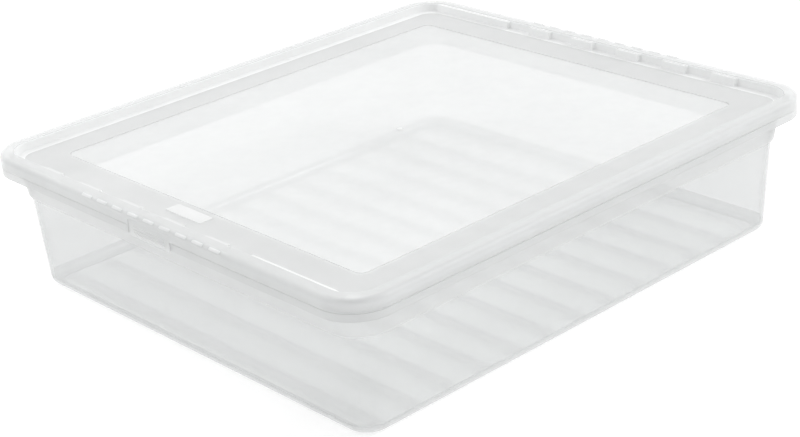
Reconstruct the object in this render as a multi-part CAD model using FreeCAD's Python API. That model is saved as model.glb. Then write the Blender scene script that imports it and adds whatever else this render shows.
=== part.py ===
import FreeCAD, Part
import math
import os

os.makedirs("parts", exist_ok=True)

# Flat storage box for the space under a bed: a tapered tub, a lid that drops over its rim,
# and one click tab in the middle of each short side of the lid.
# Millimetres. +Z is up, X runs along the long side, and the origin is the middle of the underside.

# Driving dimensions
LENGTH = 670.0
WIDTH = 595.0
HEIGHT = 157.0
WALL = 1.6
LID_CORNER_RADIUS = 44.5

# Heights above the floor
WALL_TOP_Z = 105.0
COLLAR_BOTTOM_Z = 107.5
FLANGE_BOTTOM_Z = 134.0
RIM_FLARE_Z = 136.5
RIM_SHOULDER_Z = 141.5
FLANGE_TOP_Z = 143.0
LID_SKIRT_BOTTOM_Z = 143.4
RIM_TOP_Z = 152.5
PLATEAU_Z = 146.8

# Insets, measured inwards from the lid's outer edge
BOTTOM_INSET = 30.0
WALL_TOP_INSET = 23.4
COLLAR_BOTTOM_INSET = 20.4
COLLAR_TOP_INSET = 16.8
RIM_INSET = 9.2
FLANGE_INSET = 0.5
CREST_INNER_INSET = 15.2
PLATEAU_INSET = 16.6

# Plan corner radii of the tub
BOTTOM_CORNER_RADIUS = 26.0
WALL_TOP_CORNER_RADIUS = 31.0
COLLAR_CORNER_RADIUS = 34.0

# Roundings
BOTTOM_ROUND = 10.0
SHOULDER_ROUND = 6.0
SHOULDER_LEAN = 45.0
SKIRT_THICKNESS = 1.8

# Floor corrugations, which run across the box
RIB_COUNT = 13
RIB_PITCH = 46.8
RIB_WIDTH = 21.0
RIB_RISE = 1.2
RIB_END_GAP = 24.0

# Stacking lugs on the inner wall of the lid's rim, along the short sides
LUG_PITCH = 69.4
LUG_WIDTH = 34.7
LUG_REACH = 4.0
LUG_COUNT = 5
LUG_FIRST_Y = 88.0
LUG_TOP_Z = 155.6
LUG_RUN_START_Y = 140.0
LUG_RUN_END_Y = 262.0

# Centre panel of the lid and the fine groove round it
PANEL_INSET_X = 64.5
PANEL_INSET_Y = 60.0
PANEL_CORNER_RADIUS = 10.0
GROOVE_WIDTH = 1.2
GROOVE_DEPTH = 0.6

# Polished pad on the frosted border, and the moulding gate mark
PAD_LENGTH = 56.0
PAD_WIDTH = 17.0
PAD_CENTRE_INSET = 50.2
PAD_RISE = 0.4
GATE_RADIUS = 3.0

# Grip pads on the lid's shoulder
GRIP_COUNT = 9
GRIP_PITCH = 26.0
GRIP_LENGTH = 16.0
GRIP_WIDTH = 3.2
GRIP_RISE = 0.5

# Click tabs
TAB_WIDTH = 66.0
TAB_THICKNESS = 1.6
TAB_BOTTOM_Z = 131.5
TAB_TOP_Z = 149.0
TAB_GAP = 0.5
TAB_RIB_DEPTH = 0.5
TAB_RECESS = 2.9
TAB_RIB_COUNT = 4
TAB_RIB_PITCH = 3.2

HALF_X = LENGTH / 2.0
HALF_Y = WIDTH / 2.0


def outline(half_x, half_y, radius, z):
    """Closed wire of a rounded rectangle, centred on the origin at height z."""
    cx = half_x - radius
    cy = half_y - radius
    diagonal = radius * math.sqrt(0.5)
    edges = []
    corners = [(1, 1, 0), (-1, 1, 90), (-1, -1, 180), (1, -1, 270)]
    ends = []
    for sx, sy, start in corners:
        first = math.radians(start)
        last = math.radians(start + 90)
        centre = FreeCAD.Vector(sx * cx, sy * cy, z)
        begin = centre + FreeCAD.Vector(radius * math.cos(first), radius * math.sin(first), 0)
        middle = centre + FreeCAD.Vector(sx * diagonal, sy * diagonal, 0)
        finish = centre + FreeCAD.Vector(radius * math.cos(last), radius * math.sin(last), 0)
        ends.append((begin, middle, finish))
    for index, (begin, middle, finish) in enumerate(ends):
        edges.append(Part.Arc(begin, middle, finish).toShape())
        following = ends[(index + 1) % len(ends)][0]
        edges.append(Part.LineSegment(finish, following).toShape())
    return Part.Wire(edges)


def ring_wire(inset, radius, z):
    """Rounded rectangle set in by the same amount from all four outer edges."""
    return outline(HALF_X - inset, HALF_Y - inset, radius, z)


def stacked(levels):
    """Solid that runs straight from each (z, inset, radius) level to the next."""
    wires = [ring_wire(inset, radius, z) for z, inset, radius in levels]
    return Part.makeLoft(wires, True, True)


def slab(inset, z_low, z_high):
    """Upright solid with corners concentric with the lid's outer corners."""
    radius = LID_CORNER_RADIUS - inset
    return stacked([(z_low, inset, radius), (z_high, inset, radius)])


def round_level(solid, z, radius):
    """Round every edge of the solid that lies at height z."""
    edges = [e for e in solid.Edges
             if abs(e.BoundBox.ZMin - z) < 1e-4 and abs(e.BoundBox.ZMax - z) < 1e-4]
    return solid.makeFillet(radius, edges)


def box_between(x0, x1, y0, y1, z0, z1):
    """Axis-aligned box from its limits, given in any order."""
    corner = FreeCAD.Vector(min(x0, x1), min(y0, y1), z0)
    return Part.makeBox(abs(x1 - x0), abs(y1 - y0), z1 - z0, corner)


def both_ends(shape):
    """The shape and its copy turned half a turn about the vertical axis."""
    turned = shape.copy()
    turned.rotate(FreeCAD.Vector(0, 0, 0), FreeCAD.Vector(0, 0, 1), 180)
    return [shape, turned]


def tub_envelope(thickness, floor_z, bottom_round, open_top):
    """Outside (thickness 0) or inside of the tub's wall as one solid, floor rounding included."""
    slope = (BOTTOM_INSET - WALL_TOP_INSET) / WALL_TOP_Z
    low_inset = BOTTOM_INSET - slope * floor_z + thickness
    lower = stacked([
        (floor_z, low_inset, BOTTOM_CORNER_RADIUS - thickness),
        (WALL_TOP_Z, WALL_TOP_INSET + thickness, WALL_TOP_CORNER_RADIUS - thickness),
    ])
    lower = round_level(lower, floor_z, bottom_round)
    rim_radius = LID_CORNER_RADIUS - RIM_INSET - thickness
    upper_levels = [
        (WALL_TOP_Z, WALL_TOP_INSET + thickness, WALL_TOP_CORNER_RADIUS - thickness),
        (COLLAR_BOTTOM_Z, COLLAR_BOTTOM_INSET + thickness, COLLAR_CORNER_RADIUS - thickness),
        (RIM_FLARE_Z, COLLAR_TOP_INSET + thickness, COLLAR_CORNER_RADIUS + 1.0 - thickness),
        (RIM_SHOULDER_Z, RIM_INSET + thickness, rim_radius),
        (RIM_TOP_Z + open_top, RIM_INSET + thickness, rim_radius),
    ]
    return lower.fuse(stacked(upper_levels))


def floor_bar(x, z_low, z_high, width):
    """Round-ended bar across the floor at x."""
    half_length = HALF_Y - BOTTOM_INSET - RIB_END_GAP
    bar = outline(width / 2.0, half_length, width / 2.0 - 0.01, z_low)
    prism = Part.Face(bar).extrude(FreeCAD.Vector(0, 0, z_high - z_low))
    prism.translate(FreeCAD.Vector(x, 0, 0))
    return prism


def rib_positions():
    middle = (RIB_COUNT - 1) / 2.0
    return [(index - middle) * RIB_PITCH for index in range(RIB_COUNT)]


def make_tub():
    """Tub: corrugated floor, tapered wall, collar, upstand and outer flange."""
    outside = tub_envelope(0.0, 0.0, BOTTOM_ROUND, 0.0)
    flange = slab(FLANGE_INSET, FLANGE_BOTTOM_Z, FLANGE_TOP_Z)
    hollow = slab(FLANGE_INSET + SKIRT_THICKNESS, FLANGE_BOTTOM_Z, FLANGE_TOP_Z - WALL)
    flange = flange.cut(hollow)
    tab_slot_half = TAB_WIDTH / 2.0 + 2.0
    recess_x = -HALF_X + TAB_RECESS
    slots = both_ends(box_between(-HALF_X, recess_x, -tab_slot_half, tab_slot_half,
                                  FLANGE_BOTTOM_Z - 1.0, FLANGE_TOP_Z + 1.0))
    flange = flange.cut(Part.makeCompound(slots))
    backs = both_ends(box_between(recess_x, recess_x + SKIRT_THICKNESS,
                                  -tab_slot_half - SKIRT_THICKNESS, tab_slot_half + SKIRT_THICKNESS,
                                  FLANGE_BOTTOM_Z, FLANGE_TOP_Z))
    cheek_y = tab_slot_half + SKIRT_THICKNESS
    cheeks = []
    for side in (-1, 1):
        cheek = box_between(-HALF_X + FLANGE_INSET, recess_x + SKIRT_THICKNESS,
                            side * tab_slot_half, side * cheek_y, FLANGE_BOTTOM_Z, FLANGE_TOP_Z)
        cheeks += both_ends(cheek)
    inside = tub_envelope(WALL, WALL, BOTTOM_ROUND - WALL, 1.0)
    tub = outside.fuse([flange] + backs + cheeks).cut(inside)
    grooves = [floor_bar(x, 0.0, RIB_RISE, RIB_WIDTH - 2.0 * WALL) for x in rib_positions()]
    bars = [floor_bar(x, WALL / 2.0, WALL + RIB_RISE, RIB_WIDTH) for x in rib_positions()]
    tub = tub.fuse(bars).cut(Part.makeCompound(grooves))
    return tub.removeSplitter()


def lug_spans():
    """(low y, high y) of each lug on the right-hand rim, from the plain run to the last lug."""
    spans = [(LUG_RUN_START_Y, LUG_RUN_END_Y)]
    for index in range(LUG_COUNT):
        middle = LUG_FIRST_Y - index * LUG_PITCH
        spans.append((middle - LUG_WIDTH / 2.0, middle + LUG_WIDTH / 2.0))
    return spans


def make_lid():
    """Lid: raised hollow rim with lugs, frosted border, centre panel and shoulder grips."""
    body = round_level(slab(0.0, LID_SKIRT_BOTTOM_Z, HEIGHT), HEIGHT, SHOULDER_ROUND)
    pocket = stacked([
        (PLATEAU_Z, PLATEAU_INSET, LID_CORNER_RADIUS - PLATEAU_INSET),
        (HEIGHT + 1.0, CREST_INNER_INSET, LID_CORNER_RADIUS - CREST_INNER_INSET),
    ])
    lugs = []
    channels = []
    for low, high in lug_spans():
        face_x = HALF_X - PLATEAU_INSET - LUG_REACH
        lugs += both_ends(box_between(face_x, HALF_X - CREST_INNER_INSET + 1.0,
                                      low, high, PLATEAU_Z - WALL, LUG_TOP_Z))
        channels += both_ends(box_between(face_x + WALL, HALF_X - CREST_INNER_INSET + 2.0,
                                          low + WALL, high - WALL,
                                          LID_SKIRT_BOTTOM_Z, LUG_TOP_Z - WALL))
    trim = stacked([
        (PLATEAU_Z - WALL, PLATEAU_INSET - WALL, LID_CORNER_RADIUS - PLATEAU_INSET + WALL),
        (HEIGHT, PLATEAU_INSET - WALL, LID_CORNER_RADIUS - PLATEAU_INSET + WALL),
    ])
    lugs = Part.makeCompound(lugs).common(trim)
    under = round_level(slab(SKIRT_THICKNESS, LID_SKIRT_BOTTOM_Z - 1.0, HEIGHT - WALL),
                        HEIGHT - WALL, SHOULDER_ROUND - WALL)
    core = slab(CREST_INNER_INSET - WALL, PLATEAU_Z - WALL, HEIGHT)
    under = under.cut(core)
    lid = body.cut(pocket).cut(under).fuse(lugs.Solids)
    lid = lid.cut(Part.makeCompound(channels))

    panel_x = HALF_X - PANEL_INSET_X
    panel_y = HALF_Y - PANEL_INSET_Y
    outer = outline(panel_x, panel_y, PANEL_CORNER_RADIUS, PLATEAU_Z - GROOVE_DEPTH)
    inner = outline(panel_x - GROOVE_WIDTH, panel_y - GROOVE_WIDTH,
                    PANEL_CORNER_RADIUS - GROOVE_WIDTH, PLATEAU_Z - GROOVE_DEPTH)
    lift = FreeCAD.Vector(0, 0, GROOVE_DEPTH * 2.0)
    groove = Part.Face(outer).extrude(lift).cut(Part.Face(inner).extrude(lift))
    lid = lid.cut(groove)

    slot_half = TAB_WIDTH / 2.0 + TAB_GAP
    tab_windows = both_ends(box_between(-HALF_X - 1.0, -HALF_X + SKIRT_THICKNESS + 0.6,
                                        -slot_half, slot_half,
                                        LID_SKIRT_BOTTOM_Z - 1.0, TAB_TOP_Z + TAB_GAP))
    lid = lid.cut(Part.makeCompound(tab_windows))

    pad_x = -HALF_X + PAD_CENTRE_INSET
    pad = Part.Face(outline(PAD_WIDTH / 2.0, PAD_LENGTH / 2.0, 2.0, PLATEAU_Z - WALL / 2.0))
    pad = pad.extrude(FreeCAD.Vector(0, 0, WALL / 2.0 + PAD_RISE))
    pad.translate(FreeCAD.Vector(pad_x, 0, 0))
    gate = Part.makeCylinder(GATE_RADIUS, WALL / 2.0 + PAD_RISE, FreeCAD.Vector(0, 0, PLATEAU_Z - WALL / 2.0))
    return lid.fuse([pad, gate] + shoulder_grips()).removeSplitter()


def shoulder_grips():
    """Row of short raised bars that lie on the rounded shoulder of each short side."""
    reach = SHOULDER_ROUND * math.cos(math.radians(SHOULDER_LEAN))
    centre_x = -HALF_X + SHOULDER_ROUND - reach
    centre_z = HEIGHT - SHOULDER_ROUND + reach
    grips = []
    for index in range(GRIP_COUNT):
        y = (index - (GRIP_COUNT - 1) / 2.0) * GRIP_PITCH
        bar = Part.makeBox(GRIP_RISE + WALL / 2.0, GRIP_LENGTH, GRIP_WIDTH,
                           FreeCAD.Vector(-GRIP_RISE, -GRIP_LENGTH / 2.0, -GRIP_WIDTH / 2.0))
        bar.rotate(FreeCAD.Vector(0, 0, 0), FreeCAD.Vector(0, 1, 0), SHOULDER_LEAN)
        bar.translate(FreeCAD.Vector(centre_x, y, centre_z))
        grips += both_ends(bar)
    return grips


def make_tab():
    """Click tab of the left short side: a flat plate with finger ribs and a rounded foot."""
    half = TAB_WIDTH / 2.0
    face_x = -HALF_X + TAB_RIB_DEPTH
    plate = box_between(face_x, face_x + TAB_THICKNESS, -half, half, TAB_BOTTOM_Z, TAB_TOP_Z)
    upright = [e for e in plate.Edges
               if abs(e.BoundBox.XMax - e.BoundBox.XMin) > 1.0 and e.BoundBox.ZMax < TAB_TOP_Z - 1.0]
    plate = plate.makeFillet(3.0, upright)
    ribs = []
    for index in range(TAB_RIB_COUNT):
        z = TAB_BOTTOM_Z + 2.4 + index * TAB_RIB_PITCH
        rib = Part.makeCylinder(TAB_RIB_DEPTH, TAB_WIDTH - 16.0,
                                FreeCAD.Vector(face_x, -half + 8.0, z), FreeCAD.Vector(0, 1, 0))
        ribs.append(rib)
    return plate.fuse(ribs).removeSplitter()


tub = make_tub()
lid = make_lid()
left_tab, right_tab = both_ends(make_tab())

for node, shape in [("tub", tub), ("lid", lid), ("left_click_tab", left_tab), ("right_click_tab", right_tab)]:
    shape.exportStep("parts/" + node + ".step")
    print(node, shape.ShapeType, len(shape.Solids), "solids", "valid" if shape.isValid() else "INVALID",
          round(shape.Volume / 1000.0, 1), "cm3")
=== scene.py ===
import math

import bpy
from mathutils import Matrix, Vector


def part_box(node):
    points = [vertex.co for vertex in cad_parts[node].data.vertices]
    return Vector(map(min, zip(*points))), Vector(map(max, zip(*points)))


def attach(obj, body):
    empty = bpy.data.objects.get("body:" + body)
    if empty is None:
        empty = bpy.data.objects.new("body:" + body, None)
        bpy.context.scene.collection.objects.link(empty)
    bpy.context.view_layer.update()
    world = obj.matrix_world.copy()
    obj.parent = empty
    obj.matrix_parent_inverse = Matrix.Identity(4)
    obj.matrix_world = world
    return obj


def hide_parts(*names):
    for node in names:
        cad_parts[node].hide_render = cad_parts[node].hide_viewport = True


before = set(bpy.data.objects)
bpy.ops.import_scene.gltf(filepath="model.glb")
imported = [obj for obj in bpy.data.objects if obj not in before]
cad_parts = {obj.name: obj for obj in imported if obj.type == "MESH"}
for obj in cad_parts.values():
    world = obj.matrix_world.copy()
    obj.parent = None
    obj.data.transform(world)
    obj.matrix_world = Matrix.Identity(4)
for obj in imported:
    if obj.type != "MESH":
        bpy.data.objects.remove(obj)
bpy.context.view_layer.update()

MM = 0.001

# ---------------------------------------------------------------- sizes, in metres, from the frame
tub_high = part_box("tub")[1]
lid_low, lid_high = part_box("lid")
HALF_X = lid_high.x
HALF_Y = lid_high.y
CREST_Z = lid_high.z
SKIRT_Z = lid_low.z
RIM_Z = tub_high.z

WALL = 1.6 * MM
LID_CORNER = 44.5 * MM

# Lid section, heights and insets from the outer edge
PLATEAU_Z = CREST_Z - 10.2 * MM
LUG_TOP_Z = CREST_Z - 1.4 * MM
CREST_INSET = 15.2 * MM
PLATEAU_INSET = 16.6 * MM
BORDER_INSET = 26.0 * MM
SHOULDER = 6.0 * MM
SKIRT_WALL = 1.8 * MM

# Lid details
PANEL_INSET_X = 64.5 * MM
PANEL_INSET_Y = 60.0 * MM
PANEL_CORNER = 10.0 * MM
GROOVE_WIDTH = 1.2 * MM
GROOVE_DEPTH = 0.6 * MM
LUG_PITCH = 69.4 * MM
LUG_WIDTH = 34.7 * MM
LUG_REACH = 4.0 * MM
LUG_COUNT = 5
LUG_FIRST_Y = 88.0 * MM
LUG_RUN_START_Y = 140.0 * MM
LUG_BLEND = 1.2 * MM
LUG_CORNER_SHARE = 0.35
WINDOW_HALF = 33.5 * MM
WINDOW_TOP = 149.5 * MM
PAD_SIZE = (17.0 * MM, 56.0 * MM)
PAD_CENTRE_X = -284.8 * MM
DETAIL_RISE = 0.4 * MM
GATE_RADIUS = 3.0 * MM
GRIP_COUNT = 9
GRIP_PITCH = 26.0 * MM
GRIP_SIZE = (3.2 * MM, 16.0 * MM)
GRIP_RISE = 0.5 * MM

# Tub section
FLANGE_INSET = 0.5 * MM
FLANGE_TOP = SKIRT_Z - 0.4 * MM
FLANGE_BOTTOM = FLANGE_TOP - 9.0 * MM
RECESS_DEPTH = 2.4 * MM
RECESS_HALF = 35.0 * MM
RECESS_BLEND = 1.2 * MM
RIM_INSET = 9.2 * MM
FLARE_Z = FLANGE_BOTTOM + 2.5 * MM
COLLAR_TOP_INSET = 16.8 * MM
COLLAR_INSET = 20.4 * MM
COLLAR_Z = 107.5 * MM
WALL_TOP_INSET = 23.4 * MM
WALL_TOP_Z = 105.0 * MM
BOTTOM_INSET = 30.0 * MM
BOTTOM_ROUND = 10.0 * MM
FLOOR_INSET = 42.5 * MM
RADIUS_RIM = LID_CORNER - RIM_INSET
RADIUS_COLLAR_TOP = 35.0 * MM
RADIUS_COLLAR = 34.0 * MM
RADIUS_WALL = 31.0 * MM
RADIUS_BOTTOM = 26.0 * MM

# Floor corrugations
RIB_COUNT = 13
RIB_PITCH = 46.8 * MM
RIB_WIDTH = 21.0 * MM
RIB_RISE = 1.2 * MM
RIB_HALF_LENGTH = HALF_Y - BOTTOM_INSET - 24.0 * MM
RIB_SLOPE = 5.0 * MM

# Mesh: steps in each corner, and half the stretch of each side that gets evenly spaced points
CORNER_STEPS = 16
SPAN_X = 276.0 * MM
SPAN_Y = 238.0 * MM
SPAN_MARGIN = 4.0 * MM
TOUCHING = 0.001 * MM


# ---------------------------------------------------------------- section and ring tools
def smooth(t):
    """Smooth step from 0 to 1."""
    t = min(max(t, 0.0), 1.0)
    return t * t * (3.0 - 2.0 * t)


def fillet_section(points):
    """Open section from (inset, z, plan radius, fillet, gain) corners, with each fillet drawn as an arc.

    The plan radius shrinks as the arc moves inwards, so that rings stay concentric round the corner.
    gain is the share of a local step, such as a lug, that a point follows.
    """
    section = []
    for index, (inset, z, plan, fillet, gain) in enumerate(points):
        if fillet <= 0.0:
            section.append((inset, z, plan, gain))
            continue
        here = Vector((inset, z))
        before = (Vector(points[index - 1][:2]) - here).normalized()
        after = (Vector(points[index + 1][:2]) - here).normalized()
        turn = math.pi - before.angle(after)
        centre = here + (before + after).normalized() * (fillet / math.cos(turn / 2.0))
        first = here + before * (fillet * math.tan(turn / 2.0)) - centre
        last = here + after * (fillet * math.tan(turn / 2.0)) - centre
        steps = max(2, min(8, round(turn * 4.0)))
        for step in range(steps + 1):
            share = step / steps
            swung = first * math.sin((1.0 - share) * turn) + last * math.sin(share * turn)
            point = centre + swung / math.sin(turn)
            section.append((point.x, point.y, max(plan - (point.x - inset), 0.5 * MM), gain))
    return section


def ring(inset, z, plan, xs, ys, extra=None, reach=None):
    """Loop of points round a rounded rectangle, anticlockwise from the +y end of the +x side.

    z is a height or a function of (x, y). extra(side, value) is added to the inset, where side is
    "+x", "-x", "+y", "-y" with value along it, or "corner" with value (quarter, share of the turn).
    """
    half_x, half_y = reach or (HALF_X, HALF_Y)
    extra = extra or (lambda side, value: 0.0)
    points = []
    corners = [(1, 1, 0), (-1, 1, 1), (-1, -1, 2), (1, -1, 3)]
    sides = [("+y", xs[::-1]), ("-x", ys[::-1]), ("-y", xs), ("+x", ys)]
    for (sx, sy, quarter), (side, samples) in zip(corners, sides):
        cx = sx * (half_x - inset - plan)
        cy = sy * (half_y - inset - plan)
        for step in range(CORNER_STEPS + 1):
            share = step / CORNER_STEPS
            angle = (quarter + share) * math.pi / 2.0
            radius = plan - extra("corner", (quarter, share))
            points.append((cx + radius * math.cos(angle), cy + radius * math.sin(angle)))
        for value in samples:
            depth = inset + extra(side, value)
            if side[1] == "y":
                points.append((value, (half_y - depth) * (1 if side[0] == "+" else -1)))
            else:
                points.append(((half_x - depth) * (1 if side[0] == "+" else -1), value))
    return [(x, y, z(x, y) if callable(z) else z) for x, y in points]


def patch(loop, xs, ys, height):
    """Grid of points that fills a loop made by ring, at heights given by height(x, y)."""
    half = CORNER_STEPS // 2
    wide = len(xs) + 1 + CORNER_STEPS
    deep = len(ys) + 1 + CORNER_STEPS
    count = len(loop)
    top = [loop[(half + k) % count] for k in range(wide + 1)][::-1]
    left = [loop[(half + wide + k) % count] for k in range(deep + 1)][::-1]
    bottom = [loop[(half + wide + deep + k) % count] for k in range(wide + 1)]
    right = [loop[(half + 2 * wide + deep + k) % count] for k in range(deep + 1)]
    grid = []
    for j in range(deep + 1):
        t = (left[j][1] - left[0][1]) / (left[-1][1] - left[0][1])
        row = []
        for i in range(wide + 1):
            s = (bottom[i][0] - bottom[0][0]) / (bottom[-1][0] - bottom[0][0])
            spot = []
            for axis in (0, 1):
                across = (1 - t) * bottom[i][axis] + t * top[i][axis]
                along = (1 - s) * left[j][axis] + s * right[j][axis]
                four = ((1 - s) * (1 - t) * bottom[0][axis] + s * (1 - t) * bottom[-1][axis]
                        + (1 - s) * t * top[0][axis] + s * t * top[-1][axis])
                spot.append(across + along - four)
            row.append((spot[0], spot[1], height(spot[0], spot[1])))
        grid.append(row)
    return grid


class Shell:
    """Gathers vertices and faces, with a material index for each face."""

    def __init__(self):
        self.points = []
        self.faces = []
        self.slots = []

    def add_loop(self, loop):
        first = len(self.points)
        self.points.extend(loop)
        return list(range(first, first + len(loop)))

    def add_face(self, face, slot):
        self.faces.append(tuple(face))
        self.slots.append(slot)

    def join(self, lower, upper, slot_of):
        """Quads between two loops of equal length. slot_of(centre) gives the slot, or None for a gap."""
        count = len(lower)
        for k in range(count):
            quad = (lower[k], lower[(k + 1) % count], upper[(k + 1) % count], upper[k])
            slot = slot_of(self.centre(quad))
            if slot is not None:
                self.add_face(quad, slot)

    def centre(self, quad):
        total = Vector((0.0, 0.0, 0.0))
        for index in quad:
            total += Vector(self.points[index])
        return total / len(quad)

    def fill(self, loop_ids, grid, upward, slot):
        """Fills a loop with its grid, sharing the border vertices."""
        half = CORNER_STEPS // 2
        deep = len(grid) - 1
        wide = len(grid[0]) - 1
        border = [(deep, wide - k) for k in range(wide)]
        border += [(deep - k, 0) for k in range(deep)]
        border += [(0, k) for k in range(wide)]
        border += [(k, wide) for k in range(deep)]
        ids = {place: loop_ids[(half + k) % len(border)] for k, place in enumerate(border)}
        for j, row in enumerate(grid):
            for i, point in enumerate(row):
                if (j, i) not in ids:
                    ids[(j, i)] = len(self.points)
                    self.points.append(point)
        for j in range(deep):
            for i in range(wide):
                quad = (ids[(j, i)], ids[(j, i + 1)], ids[(j + 1, i + 1)], ids[(j + 1, i)])
                self.add_face(quad if upward else quad[::-1], slot)

    def pill(self, size, corner, rise, edge, turn, slot, sink=1.0 * MM):
        """Low raised pad with a rounded outline and eased top edge, carried by the matrix turn."""
        loops = []
        half = (size[0] / 2.0, size[1] / 2.0)
        eased = 0.3 * edge
        for grow, z in ((0.0, -sink), (0.0, rise - edge), (-eased, rise - eased), (-edge, rise)):
            loop = ring(-grow, z, corner + grow, [0.0], [0.0], reach=half)
            loops.append(self.add_loop([tuple(turn @ Vector(p)) for p in loop]))
        for lower, upper in zip(loops, loops[1:]):
            self.join(lower, upper, lambda centre: slot)
        self.add_face(loops[0][::-1], slot)
        self.add_face(loops[-1], slot)

    def build(self, name, materials, sharp_degrees=35.0):
        mesh = bpy.data.meshes.new(name)
        mesh.from_pydata([tuple(p) for p in self.points], [], self.faces)
        for material in materials:
            mesh.materials.append(material)
        mesh.polygons.foreach_set("material_index", self.slots)
        mesh.polygons.foreach_set("use_smooth", [True] * len(self.faces))
        mesh.set_sharp_from_angle(angle=math.radians(sharp_degrees))
        mesh.validate()
        thing = bpy.data.objects.new(name, mesh)
        bpy.context.scene.collection.objects.link(thing)
        return thing


def spread(low, high, step):
    """Evenly spaced values from low to high, about step apart."""
    count = max(1, round((high - low) / step))
    return [low + (high - low) * k / count for k in range(count + 1)]


def samples(half, step, edges, width, exact=()):
    """Values from -half to half, about step apart, closer round each edge, with the exact ones in."""
    kept = list(exact)

    def add(value, gap):
        if abs(value) <= half and all(abs(value - other) > gap for other in kept):
            kept.append(value)

    for edge in edges:
        for share in (0.0, -1.0, 1.0, -0.5, 0.5):
            add(edge + share * width, 0.25 * MM)
    for value in spread(-half, half, step):
        add(value, step * 0.4)
    return sorted(kept)


# ---------------------------------------------------------------- materials
POLYPROPYLENE_IOR = 1.49
EDGE_POWER = 2.2        # how late the milky look sets in towards the edge-on view
UNEVEN = 0.08           # share by which the milkiness wanders over the surface
CLOUD_SCALE = 9.0
FLOW_SCALE = 14.0


def node(tree, kind, x, y, **inputs):
    made = tree.nodes.new(kind)
    made.location = (x, y)
    for key, value in inputs.items():
        made.inputs[key.replace("_", " ")].default_value = value
    return made


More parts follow.
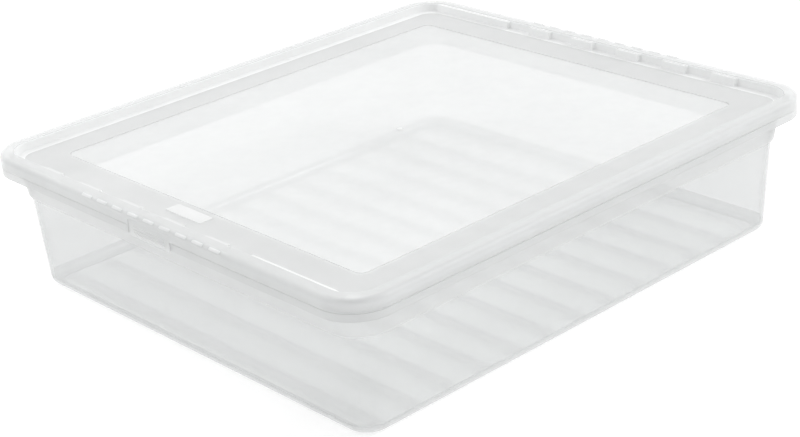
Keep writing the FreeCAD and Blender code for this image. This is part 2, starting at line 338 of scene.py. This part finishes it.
def plastic(name, milk, edge_milk, colour, tint, edge_tint, roughness, grain, grain_size,
            wave=0.0, painted_rib_shade=0.0):
    """Thin translucent polypropylene: see-through tinted film mixed with a milky glossy surface.

    milk and edge_milk are how opaque it is seen square on and edge on; tint and edge_tint are what
    it lets through there. grain is the depth of a fine moulded texture, wave of slow flow ripples.
    The last argument is how deep a painted shade, laid in bands centred on the floor corrugations,
    darkens the light let through.
    """
    material = bpy.data.materials.new(name)
    material.use_nodes = True
    tree = material.node_tree
    tree.nodes.clear()
    links = tree.links
    output = node(tree, "ShaderNodeOutputMaterial", 900, 0)
    mix = node(tree, "ShaderNodeMixShader", 700, 0)
    clear = node(tree, "ShaderNodeBsdfTransparent", 450, 120)
    body = node(tree, "ShaderNodeBsdfPrincipled", 380, -60)
    body.inputs["IOR"].default_value = POLYPROPYLENE_IOR
    body.inputs["Specular IOR Level"].default_value = 0.9

    place = node(tree, "ShaderNodeTexCoord", -900, -200)
    cloud = node(tree, "ShaderNodeTexNoise", -650, 300, Scale=CLOUD_SCALE, Detail=3.0, Roughness=0.5)
    links.new(place.outputs["Object"], cloud.inputs["Vector"])
    speck = node(tree, "ShaderNodeTexNoise", -650, -120, Scale=1.0 / grain_size, Detail=1.0,
                 Roughness=0.5)
    links.new(place.outputs["Object"], speck.inputs["Vector"])
    flow = node(tree, "ShaderNodeTexNoise", -650, -420, Scale=FLOW_SCALE, Detail=2.0, Roughness=0.4)
    links.new(place.outputs["Object"], flow.inputs["Vector"])

    facing = node(tree, "ShaderNodeLayerWeight", -650, 560, Blend=0.5)
    steep = node(tree, "ShaderNodeMath", -430, 560)
    steep.operation = "POWER"
    steep.inputs[1].default_value = EDGE_POWER
    links.new(facing.outputs["Facing"], steep.inputs[0])

    milkiness = node(tree, "ShaderNodeMapRange", -200, 560)
    milkiness.inputs["To Min"].default_value = milk
    milkiness.inputs["To Max"].default_value = edge_milk
    links.new(steep.outputs[0], milkiness.inputs["Value"])
    uneven = node(tree, "ShaderNodeMapRange", -200, 300)
    uneven.inputs["From Min"].default_value = 0.3
    uneven.inputs["From Max"].default_value = 0.7
    uneven.inputs["To Min"].default_value = 1.0 - UNEVEN
    uneven.inputs["To Max"].default_value = 1.0 + UNEVEN
    links.new(cloud.outputs["Fac"], uneven.inputs["Value"])
    opacity = node(tree, "ShaderNodeMath", 20, 480)
    opacity.operation = "MULTIPLY"
    opacity.use_clamp = True
    links.new(milkiness.outputs["Result"], opacity.inputs[0])
    links.new(uneven.outputs["Result"], opacity.inputs[1])
    links.new(opacity.outputs[0], mix.inputs["Fac"])

    through = node(tree, "ShaderNodeMix", 200, 260)
    through.data_type = "RGBA"
    through.inputs["A"].default_value = (*tint, 1.0)
    through.inputs["B"].default_value = (*edge_tint, 1.0)
    links.new(steep.outputs[0], through.inputs["Factor"])
    # Painted shade: the light let through is darkened in bands centred on the floor corrugations.
    if painted_rib_shade:
        axes = node(tree, "ShaderNodeSeparateXYZ", -650, 760)
        links.new(place.outputs["Object"], axes.inputs[0])
        phase = node(tree, "ShaderNodeMath", -480, 760)
        phase.operation = "MULTIPLY"
        phase.inputs[1].default_value = 2.0 * math.pi / RIB_PITCH
        links.new(axes.outputs["X"], phase.inputs[0])
        swing = node(tree, "ShaderNodeMath", -320, 760)
        swing.operation = "COSINE"
        links.new(phase.outputs[0], swing.inputs[0])
        painted_rib_shade_level = node(tree, "ShaderNodeMapRange", -160, 760)
        painted_rib_shade_level.interpolation_type = "SMOOTHSTEP"
        painted_rib_shade_level.inputs["From Min"].default_value = -0.6
        painted_rib_shade_level.inputs["From Max"].default_value = 0.9
        painted_rib_shade_level.inputs["To Min"].default_value = 1.0
        painted_rib_shade_level.inputs["To Max"].default_value = 1.0 - painted_rib_shade
        links.new(swing.outputs[0], painted_rib_shade_level.inputs["Value"])
        rib_shaded_tint = node(tree, "ShaderNodeVectorMath", 330, 260)
        rib_shaded_tint.operation = "SCALE"
        links.new(through.outputs["Result"], rib_shaded_tint.inputs[0])
        links.new(painted_rib_shade_level.outputs["Result"], rib_shaded_tint.inputs["Scale"])
        links.new(rib_shaded_tint.outputs[0], clear.inputs["Color"])
    else:
        links.new(through.outputs["Result"], clear.inputs["Color"])

    shade = node(tree, "ShaderNodeMix", 100, 20)
    shade.data_type = "RGBA"
    shade.inputs["A"].default_value = (*[c * 0.965 for c in colour], 1.0)
    shade.inputs["B"].default_value = (*colour, 1.0)
    links.new(speck.outputs["Fac"], shade.inputs["Factor"])
    links.new(shade.outputs["Result"], body.inputs["Base Color"])

    rough = node(tree, "ShaderNodeMapRange", 100, -180)
    rough.inputs["To Min"].default_value = roughness * 0.85
    rough.inputs["To Max"].default_value = min(1.0, roughness * 1.2)
    links.new(speck.outputs["Fac"], rough.inputs["Value"])
    links.new(rough.outputs["Result"], body.inputs["Roughness"])

    height = node(tree, "ShaderNodeMath", -400, -280)
    height.operation = "MULTIPLY_ADD"
    height.inputs[1].default_value = grain
    links.new(speck.outputs["Fac"], height.inputs[0])
    ripple = node(tree, "ShaderNodeMath", -400, -440)
    ripple.operation = "MULTIPLY"
    ripple.inputs[1].default_value = wave
    links.new(flow.outputs["Fac"], ripple.inputs[0])
    links.new(ripple.outputs[0], height.inputs[2])
    bump = node(tree, "ShaderNodeBump", 100, -360, Strength=1.0, Distance=1.0)
    links.new(height.outputs[0], bump.inputs["Height"])
    links.new(bump.outputs["Normal"], body.inputs["Normal"])

    links.new(clear.outputs[0], mix.inputs[1])
    links.new(body.outputs[0], mix.inputs[2])
    links.new(mix.outputs[0], output.inputs["Surface"])
    return material


WHITE = (0.90, 0.905, 0.905)
CLEAR_WALL = plastic(
    "clear_polypropylene", milk=0.12, edge_milk=0.62, colour=WHITE, tint=(0.938, 0.941, 0.941),
    edge_tint=(0.84, 0.845, 0.845), roughness=0.14, grain=0.000002, grain_size=0.012, wave=0.00004)
# The floor plastic darkens the light it lets through in bands over the corrugations: painted shade.
CLEAR_FLOOR = plastic(
    "clear_floor_polypropylene", milk=0.10, edge_milk=0.38, colour=WHITE, tint=(0.985, 0.987, 0.987),
    edge_tint=WHITE, roughness=0.14, grain=0.000002, grain_size=0.012, painted_rib_shade=0.05)
CLEAR_BASE = plastic(
    "clear_base_polypropylene", milk=0.40, edge_milk=0.80, colour=(0.84, 0.845, 0.845),
    tint=(0.94, 0.945, 0.945), edge_tint=(0.86, 0.865, 0.865), roughness=0.16, grain=0.000004,
    grain_size=0.012)
CLEAR_PANEL = plastic(
    "clear_panel_polypropylene", milk=0.23, edge_milk=0.62, colour=(0.93, 0.935, 0.935),
    tint=(0.977, 0.980, 0.980), edge_tint=(0.88, 0.885, 0.885), roughness=0.16, grain=0.000002,
    grain_size=0.010)
FROSTED = plastic(
    "frosted_polypropylene", milk=0.42, edge_milk=0.84, colour=(0.81, 0.815, 0.815),
    tint=(0.885, 0.89, 0.89), edge_tint=(0.80, 0.805, 0.805), roughness=0.42, grain=0.00002,
    grain_size=0.0012)
FROSTED_RIM = plastic(
    "rim_polypropylene", milk=0.30, edge_milk=0.76, colour=(0.89, 0.895, 0.895),
    tint=(0.965, 0.968, 0.968), edge_tint=WHITE, roughness=0.40, grain=0.000008, grain_size=0.0020)
# Painted light: a lighter, milkier copy of the rim plastic for the rim's inward faces, standing in for
# light scattered through the translucent rim.
RIM_INNER_PAINTED_LIGHT = plastic(
    "rim_inner_painted_light_polypropylene", milk=0.70, edge_milk=0.84, colour=(0.97, 0.975, 0.975),
    tint=(0.965, 0.968, 0.968), edge_tint=WHITE, roughness=0.30, grain=0.000008, grain_size=0.0020)
# Smoother plastic for the shoulder grips and lug tops: the lower roughness is real, and the lighter,
# milkier colour is painted highlight for the bright glints on them.
GRIP_WITH_PAINTED_HIGHLIGHT = plastic(
    "grip_painted_highlight_polypropylene", milk=0.50, edge_milk=0.86, colour=(0.93, 0.935, 0.935),
    tint=(0.97, 0.975, 0.975), edge_tint=WHITE, roughness=0.18, grain=0.000006, grain_size=0.002)
# Plastic for the pad and the gate mark: the low roughness is the real polish, and the near-white, milky
# colour is painted highlight.
POLISHED_WITH_PAINTED_HIGHLIGHT = plastic(
    "polished_painted_highlight_polypropylene", milk=0.62, edge_milk=0.90, colour=(0.98, 0.985, 0.985),
    tint=(0.98, 0.985, 0.985), edge_tint=WHITE, roughness=0.06, grain=0.000004, grain_size=0.003)


# ---------------------------------------------------------------- tub
TUB_WALL, TUB_COLLAR, TUB_BASE, TUB_FLOOR = range(4)
TUB_MATERIALS = [CLEAR_WALL, FROSTED, CLEAR_BASE, CLEAR_FLOOR]


def rib_rise(x, y):
    """Height of the floor corrugation at a point: round-ended bars across the box."""
    middle = (RIB_COUNT - 1) / 2.0
    index = min(max(round(x / RIB_PITCH + middle), 0), RIB_COUNT - 1)
    centre = (index - middle) * RIB_PITCH
    beyond = max(0.0, abs(y) - (RIB_HALF_LENGTH - RIB_WIDTH / 2.0))
    away = math.hypot(x - centre, beyond)
    return RIB_RISE * (1.0 - smooth((away - RIB_WIDTH / 2.0 + RIB_SLOPE) / RIB_SLOPE))


def tub_section():
    """Section of the tub, from the underside up the outside, over the rim and down the inside."""
    floor_plan = RADIUS_BOTTOM - (FLOOR_INSET - BOTTOM_INSET)
    lip = FLANGE_INSET + SKIRT_WALL
    return fillet_section([
        (FLOOR_INSET, 0.0, floor_plan, 0.0, 0.0),
        (BOTTOM_INSET, 0.0, RADIUS_BOTTOM, BOTTOM_ROUND, 0.0),
        (WALL_TOP_INSET, WALL_TOP_Z, RADIUS_WALL, 0.6 * MM, 0.0),
        (COLLAR_INSET, COLLAR_Z, RADIUS_COLLAR, 1.0 * MM, 0.0),
        (COLLAR_TOP_INSET, FLARE_Z, RADIUS_COLLAR_TOP, 1.5 * MM, 0.0),
        (RIM_INSET + 0.6 * MM, FLANGE_TOP - WALL, RADIUS_RIM, 0.6 * MM, 0.0),
        (lip, FLANGE_TOP - WALL, LID_CORNER - lip, 0.4 * MM, 1.0),
        (lip, FLANGE_BOTTOM, LID_CORNER - lip, 0.5 * MM, 1.0),
        (FLANGE_INSET, FLANGE_BOTTOM, LID_CORNER - FLANGE_INSET, 0.7 * MM, 1.0),
        (FLANGE_INSET, FLANGE_TOP, LID_CORNER - FLANGE_INSET, 0.9 * MM, 1.0),
        (RIM_INSET, FLANGE_TOP, RADIUS_RIM, 0.5 * MM, 0.0),
        (RIM_INSET, RIM_Z, RADIUS_RIM, 0.7 * MM, 0.0),
        (RIM_INSET + WALL, RIM_Z, RADIUS_RIM - WALL, 0.7 * MM, 0.0),
        (RIM_INSET + WALL, FLANGE_TOP - 1.2 * MM, RADIUS_RIM - WALL, 1.5 * MM, 0.0),
        (COLLAR_TOP_INSET + WALL, FLARE_Z - 0.4 * MM, RADIUS_COLLAR_TOP - WALL, 1.5 * MM, 0.0),
        (COLLAR_INSET + WALL, COLLAR_Z, RADIUS_COLLAR - WALL, 1.0 * MM, 0.0),
        (WALL_TOP_INSET + WALL, WALL_TOP_Z, RADIUS_WALL - WALL, 0.6 * MM, 0.0),
        (BOTTOM_INSET + WALL, WALL, RADIUS_BOTTOM - WALL, BOTTOM_ROUND - WALL, 0.0),
        (FLOOR_INSET, WALL, floor_plan, 0.0, 0.0),
    ])


def make_tub():
    xs = samples(SPAN_X, 3.1 * MM, [], 0.0)
    ys = samples(SPAN_Y, 6.0 * MM, [-RECESS_HALF, RECESS_HALF], RECESS_BLEND / 2.0)

    def recess(side, value):
        if side not in ("+x", "-x"):
            return 0.0
        return RECESS_DEPTH * (1.0 - smooth((abs(value) - RECESS_HALF) / RECESS_BLEND + 0.5))

    shell = Shell()
    loops = []
    for inset, z, plan, gain in tub_section():
        height = (lambda x, y, z=z: z + rib_rise(x, y)) if inset > FLOOR_INSET - 0.1 * MM else z
        loop = ring(inset, height, plan, xs, ys,
                    extra=lambda side, value, gain=gain: gain * recess(side, value))
        loops.append((shell.add_loop(loop), loop, z))
    inside = False
    for (lower, _, z0), (upper, _, z1) in zip(loops, loops[1:]):
        inside = inside or z0 == RIM_Z
        top = max(z0, z1)
        kind = TUB_WALL
        if top > WALL_TOP_Z + 0.5 * MM and not inside:
            kind = TUB_COLLAR
        elif top < BOTTOM_ROUND:
            kind = TUB_BASE
        shell.join(lower, upper, lambda centre, kind=kind: kind)
    underside = patch(loops[0][1], xs, ys, rib_rise)
    shell.fill(loops[0][0], underside, False, TUB_FLOOR)
    topside = patch(loops[-1][1], xs, ys, lambda x, y: WALL + rib_rise(x, y))
    shell.fill(loops[-1][0], topside, True, TUB_FLOOR)
    return shell.build("tub_shell", TUB_MATERIALS)


# ---------------------------------------------------------------- lid
LID_BORDER, LID_RIM, LID_PANEL, LID_LUG, LID_INNER_PAINTED_LIGHT = range(5)
LID_MATERIALS = [FROSTED, FROSTED_RIM, CLEAR_PANEL, GRIP_WITH_PAINTED_HIGHLIGHT, RIM_INNER_PAINTED_LIGHT]


def lug_edges():
    """(low, high) pairs of y between which the rim's inner wall stands in, on the right-hand side."""
    pairs = []
    for index in range(LUG_COUNT):
        middle = LUG_FIRST_Y - index * LUG_PITCH
        pairs.append((middle - LUG_WIDTH / 2.0, middle + LUG_WIDTH / 2.0))
    pairs.append((LUG_RUN_START_Y, HALF_Y))
    return pairs


LUG_PAIRS = lug_edges()


def lug_step(side, value):
    """How far the rim's inner wall stands in. The left side is the right side turned half a turn."""
    if side == "corner":
        quarter, share = value
        return LUG_REACH * (1.0 - smooth(share / LUG_CORNER_SHARE)) if quarter in (0, 2) else 0.0
    if side not in ("+x", "-x"):
        return 0.0
    y = value if side == "+x" else -value
    level = 0.0
    for low, high in LUG_PAIRS:
        rising = smooth((y - low) / LUG_BLEND + 0.5)
        falling = smooth((high - y) / LUG_BLEND + 0.5)
        level = max(level, min(rising, falling))
    return LUG_REACH * level


def lid_section():
    """Section of the lid: from the border's underside, over the hollow rim, back down to the border."""
    plan = LID_CORNER
    inner = CREST_INSET - WALL
    under = PLATEAU_Z - WALL

    def at(inset, z, fillet, gain=0.0):
        return (inset, z, plan - inset, fillet, gain)

    return fillet_section([
        at(BORDER_INSET, under, 0.0),
        at(PLATEAU_INSET - WALL + 1.2 * MM, under, 0.0, 1.0),
        at(PLATEAU_INSET - WALL, under + 0.6 * MM, 0.0, 1.0),
        at(inner + 0.3 * MM, LUG_TOP_Z - WALL - 0.6 * MM, 0.0, 1.0),
        at(inner + 0.1 * MM, LUG_TOP_Z - WALL, 0.0, 0.9),
        at(inner, CREST_Z - WALL - 0.6 * MM, 0.0),
        at(inner - 0.6 * MM, CREST_Z - WALL, 0.0),
        at(SKIRT_WALL, CREST_Z - WALL, SHOULDER - WALL),
        at(SKIRT_WALL, WINDOW_TOP, 0.0),
        at(SKIRT_WALL, SKIRT_Z, 0.5 * MM),
        at(0.0, SKIRT_Z, 0.7 * MM),
        at(0.0, WINDOW_TOP, 0.0),
        at(0.0, CREST_Z, SHOULDER),
        at(CREST_INSET, CREST_Z, 1.0 * MM),
        at(CREST_INSET + 0.25 * MM, LUG_TOP_Z, 0.0),
        at(CREST_INSET + 0.30 * MM, LUG_TOP_Z - 0.02 * MM, 0.0, 0.80),
        at(CREST_INSET + 0.34 * MM, LUG_TOP_Z - 0.25 * MM, 0.0, 0.94),
        at(CREST_INSET + 0.40 * MM, LUG_TOP_Z - 0.80 * MM, 0.0, 1.0),
        at(PLATEAU_INSET - 0.10 * MM, PLATEAU_Z + 0.8 * MM, 0.0, 1.0),
        at(PLATEAU_INSET + 0.20 * MM, PLATEAU_Z + 0.2 * MM, 0.0, 1.0),
        at(PLATEAU_INSET + 0.90 * MM, PLATEAU_Z, 0.0, 1.0),
        at(BORDER_INSET, PLATEAU_Z, 0.0),
    ])


def in_window(x, y, z):
    """True inside the gap in the skirt that a click tab fills."""
    return abs(y) < WINDOW_HALF and abs(x) > HALF_X - 3.0 * MM and z < WINDOW_TOP


def lid_slot(centre):
    """Material slot of a face of the rim, or None inside the gap that a click tab fills."""
    if in_window(*centre):
        return None
    along = centre.y if centre.x > 0.0 else -centre.y
    on_lug = (abs(centre.z - LUG_TOP_Z) < 0.3 * MM
              and -HALF_Y + LID_CORNER < along < LUG_RUN_START_Y - LUG_BLEND
              and abs(centre.x) < HALF_X - CREST_INSET - 0.8 * MM)
    # Lug tops take the grip plastic, whose lighter colour is painted highlight.
    if on_lug:
        return LID_LUG
    facing_in = (PLATEAU_Z < centre.z < CREST_Z - 1.0 * MM and abs(centre.x) < HALF_X - CREST_INSET
                 and abs(centre.y) < HALF_Y - CREST_INSET)
    # Inward faces of the rim take the lighter copy of the rim plastic: painted light.
    return LID_INNER_PAINTED_LIGHT if facing_in else LID_RIM


def close_window(shell, section, loops):
    """Closes the cut edges of both tab windows, between the outer and the inner face of the skirt."""
    at_top = [k for k, point in enumerate(section) if abs(point[1] - WINDOW_TOP) < TOUCHING]
    first, last = at_top[0], at_top[-1]
    inner, outer = loops[first], loops[last]
    count = len(inner)
    for k in range(count):
        after = (k + 1) % count
        centre = shell.centre((inner[k], inner[after], outer[after], outer[k]))
        if in_window(centre.x, centre.y, centre.z - 0.1 * MM):
            shell.add_face((inner[k], inner[after], outer[after], outer[k]), LID_RIM)
            for index, turned in ((k, False), (after, True)):
                if abs(abs(shell.points[inner[index]][1]) - WINDOW_HALF) < TOUCHING:
                    side = [loops[j][index] for j in range(first, last + 1)]
                    shell.add_face(side if turned else side[::-1], LID_RIM)


def panel_rings():
    """Rings of the centre panel and the fine groove round it, as (grow, z) from the panel's outline."""
    deep = PLATEAU_Z - GROOVE_DEPTH
    return [(0.0, PLATEAU_Z), (-0.12 * MM, deep + 0.15 * MM), (-0.35 * MM, deep),
            (-GROOVE_WIDTH + 0.35 * MM, deep), (-GROOVE_WIDTH + 0.12 * MM, deep + 0.15 * MM),
            (-GROOVE_WIDTH, PLATEAU_Z)]


def make_lid():
    xs = samples(SPAN_X, 12.0 * MM, [], 0.0)
    both = [s * edge for pair in LUG_PAIRS for edge in pair if edge < HALF_Y for s in (-1, 1)]
    ys = samples(SPAN_Y, 8.0 * MM, both, LUG_BLEND / 2.0, exact=(-WINDOW_HALF, WINDOW_HALF))
    reach = (HALF_X - PANEL_INSET_X, HALF_Y - PANEL_INSET_Y)
    panel_xs = [x * (reach[0] - PANEL_CORNER) / (SPAN_X + SPAN_MARGIN) for x in xs]
    panel_ys = [y * (reach[1] - PANEL_CORNER) / (SPAN_Y + SPAN_MARGIN) for y in ys]

    def panel_ring(grow, z):
        return ring(-grow, z, PANEL_CORNER + grow, panel_xs, panel_ys, reach=reach)

    shell = Shell()
    section = lid_section()
    loops = []
    for inset, z, plan, gain in section:
        loop = ring(inset, z, plan, xs, ys,
                    extra=lambda side, value, gain=gain: gain * lug_step(side, value))
        loops.append(shell.add_loop(loop))
    for lower, upper in zip(loops, loops[1:]):
        shell.join(lower, upper, lid_slot)
    close_window(shell, section, loops)

    below = panel_ring(0.0, PLATEAU_Z - WALL)
    below_ids = shell.add_loop(below)
    shell.join(below_ids, loops[0], lambda centre: LID_BORDER)
    underside = patch(below, panel_xs, panel_ys, lambda x, y: PLATEAU_Z - WALL)
    shell.fill(below_ids, underside, False, LID_PANEL)

    last = loops[-1]
    for grow, z in panel_rings():
        loop = panel_ring(grow, z)
        ids = shell.add_loop(loop)
        shell.join(last, ids, lambda centre: LID_BORDER)
        last = ids
    topside = patch(loop, panel_xs, panel_ys, lambda x, y: PLATEAU_Z)
    shell.fill(last, topside, True, LID_PANEL)
    return shell.build("lid_shell", LID_MATERIALS)


def make_lid_details():
    """Grips on both rounded shoulders, the polished pad on the border and the gate mark."""
    lean = math.cos(math.radians(45.0)) * SHOULDER
    grips = Shell()
    for sign in (-1, 1):
        turn = Matrix.Rotation(math.radians(45.0) * sign, 4, "Y")
        spot = (sign * (HALF_X - SHOULDER + lean), 0.0, CREST_Z - SHOULDER + lean)
        for index in range(GRIP_COUNT):
            y = (index - (GRIP_COUNT - 1) / 2.0) * GRIP_PITCH
            place = Matrix.Translation((spot[0], y, spot[2])) @ turn
            grips.pill(GRIP_SIZE, 1.2 * MM, GRIP_RISE - 0.05 * MM, 0.25 * MM, place, 0)
    grips = grips.build("shoulder_grips", [GRIP_WITH_PAINTED_HIGHLIGHT])
    pad = Shell()
    pad.pill(PAD_SIZE, 2.0 * MM, DETAIL_RISE, 0.15 * MM,
             Matrix.Translation((PAD_CENTRE_X, 0.0, PLATEAU_Z)), 0)
    pad = pad.build("polished_pad", [POLISHED_WITH_PAINTED_HIGHLIGHT])
    gate = Shell()
    gate.pill((GATE_RADIUS * 2.0, GATE_RADIUS * 2.0), GATE_RADIUS - 0.01 * MM, DETAIL_RISE, 0.15 * MM,
              Matrix.Translation((0.0, 0.0, PLATEAU_Z)), 0)
    gate = gate.build("gate_mark", [POLISHED_WITH_PAINTED_HIGHLIGHT])
    return [grips, pad, gate]


# ---------------------------------------------------------------- stage, light and camera
FLOOR_HALF = 6.0
FLOOR_DROP = 0.3 * MM
FLOOR_GREY = (0.50, 0.50, 0.50)
FLOOR_GLOW = 0.57
SKY_STRENGTH = 0.78


def make_stage():
    material = bpy.data.materials.new("studio_sweep")
    material.use_nodes = True
    body = material.node_tree.nodes["Principled BSDF"]
    body.inputs["Base Color"].default_value = (*FLOOR_GREY, 1.0)
    body.inputs["Roughness"].default_value = 0.9
    body.inputs["Emission Color"].default_value = (1.0, 1.0, 1.0, 1.0)
    body.inputs["Emission Strength"].default_value = FLOOR_GLOW
    mesh = bpy.data.meshes.new("studio_floor")
    corners = [(sx * FLOOR_HALF, sy * FLOOR_HALF, 0.0) for sx, sy in ((-1, -1), (1, -1), (1, 1), (-1, 1))]
    mesh.from_pydata(corners, [], [(0, 1, 2, 3)])
    mesh.materials.append(material)
    floor = bpy.data.objects.new("studio_floor", mesh)
    floor.location.z = -FLOOR_DROP
    bpy.context.scene.collection.objects.link(floor)


def soft_light(name, place, target, size, power):
    lamp = bpy.data.lights.new(name, "AREA")
    lamp.shape = "RECTANGLE"
    lamp.size, lamp.size_y = size
    lamp.energy = power
    thing = bpy.data.objects.new(name, lamp)
    thing.location = place
    thing.rotation_euler = (Vector(target) - Vector(place)).to_track_quat("-Z", "Y").to_euler()
    bpy.context.scene.collection.objects.link(thing)


def make_lights():
    world = bpy.data.worlds.new("studio_world")
    world.use_nodes = True
    sky = world.node_tree.nodes["Background"]
    sky.inputs["Color"].default_value = (1.0, 1.0, 1.0, 1.0)
    sky.inputs["Strength"].default_value = SKY_STRENGTH
    bpy.context.scene.world = world
    soft_light("shoulder_softbox", (3.0, -2.2, 3.6), (0.0, -0.1, 0.1), (2.0, 1.3), 112.0)
    soft_light("back_softbox", (-0.7, 1.5, 1.4), (-0.3, 0.1, 0.0), (1.4, 0.9), 12.0)


CAMERA_AZIMUTH = -41.67
CAMERA_ELEVATION = 24.58
CAMERA_ROLL = -4.15
CAMERA_DISTANCE = 2.019
CAMERA_AIM = (0.0032, -0.0138)
CAMERA_LENS = 81.8
SENSOR = 36.0
CAMERA_SHIFT = (-0.0072, 0.0264)


def make_camera():
    azimuth = math.radians(CAMERA_AZIMUTH)
    elevation = math.radians(CAMERA_ELEVATION)
    back = Vector((math.sin(azimuth) * math.cos(elevation), -math.cos(azimuth) * math.cos(elevation),
                   math.sin(elevation)))
    level = Vector((0.0, 0.0, 1.0)).cross(back).normalized()
    upright = back.cross(level)
    roll = math.radians(CAMERA_ROLL)
    right = level * math.cos(roll) + upright * math.sin(roll)
    up = upright * math.cos(roll) - level * math.sin(roll)
    data = bpy.data.cameras.new("photo_camera")
    data.sensor_width = SENSOR
    data.lens = CAMERA_LENS
    data.shift_x, data.shift_y = CAMERA_SHIFT
    data.clip_start = 0.05
    thing = bpy.data.objects.new("photo_camera", data)
    turn = Matrix((right, up, back)).transposed().to_4x4()
    place = back * CAMERA_DISTANCE - right * CAMERA_AIM[0] - up * CAMERA_AIM[1]
    thing.matrix_world = Matrix.Translation(place) @ turn
    bpy.context.scene.collection.objects.link(thing)
    bpy.context.scene.camera = thing


make_stage()
make_lights()
make_camera()

tub_shell = make_tub()
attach(tub_shell, "tub")
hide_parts("tub")

lid_shell = make_lid()
for piece in [lid_shell] + make_lid_details():
    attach(piece, "lid")
    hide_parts("lid")

for tab in ("left_click_tab", "right_click_tab"):
    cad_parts[tab].data.materials.clear()
    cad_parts[tab].data.materials.append(FROSTED_RIM)

scene = bpy.context.scene
scene.view_settings.view_transform = "Standard"
scene.cycles.transparent_max_bounces = 48
scene.cycles.max_bounces = 10
scene.cycles.diffuse_bounces = 6
scene.cycles.glossy_bounces = 3
scene.cycles.transmission_bounces = 3
